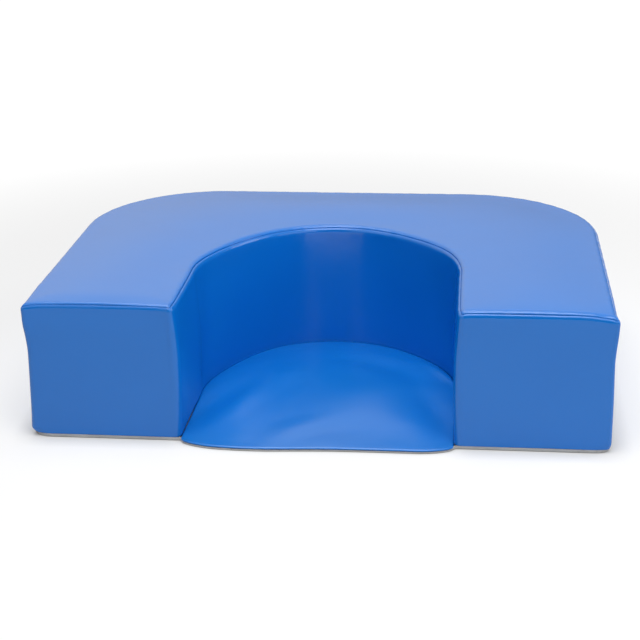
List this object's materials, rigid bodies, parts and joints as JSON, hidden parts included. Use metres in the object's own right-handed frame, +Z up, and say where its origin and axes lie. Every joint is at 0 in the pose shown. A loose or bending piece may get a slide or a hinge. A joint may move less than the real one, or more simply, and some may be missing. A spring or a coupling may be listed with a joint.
{
  "type": "foam floor seat",
  "caption": "Low U-shaped foam floor seat in a sewn vinyl cover, with a thin padded seat between its arms and a zip low on the back.",
  "frame": {"origin": "on the floor, under the middle of the footprint", "axes": "+X to the right seen from the front, +Y to the back of the seat, +Z up"},
  "size_m": [0.86, 0.6346, 0.218],
  "materials": {
    "vinyl": "semi-gloss blue vinyl with a fine grain",
    "foam": "open-cell polyurethane foam",
    "base_fabric": "light grey coated non-slip fabric",
    "zip_tape": "woven polyester tape",
    "zip_teeth": "moulded plastic",
    "zip_metal": "nickel-plated die casting"
  },
  "bodies": {
    "seat": {"foam_core": "foam", "seat_foam": "foam", "top_panel": "vinyl", "front_band": "vinyl", "outer_band": "vinyl", "seat_panel": "vinyl", "base_panel": "base_fabric", "upper_tape": "zip_tape", "lower_tape": "zip_tape", "upper_teeth": "zip_teeth", "lower_teeth": "zip_teeth", "top_stops": "zip_metal", "bottom_stop": "zip_metal"},
    "zip_slider": {"slider_body": "zip_metal"},
    "zip_pull": {"pull_tab": "zip_metal"}
  },
  "joints": [
    {"name": "zip_slide", "type": "slide", "parent": "seat", "child": "zip_slider", "axis": [-1, 0, 0], "range_m": [0, 0.358], "deforming": ["upper_teeth", "lower_teeth"]},
    {"name": "pull_flip", "type": "hinge", "parent": "zip_slider", "child": "zip_pull", "pos_m": [0.1792, 0.3176, 0.034], "axis": [0, 0, -1], "range_deg": [0, 170]}
  ]
}
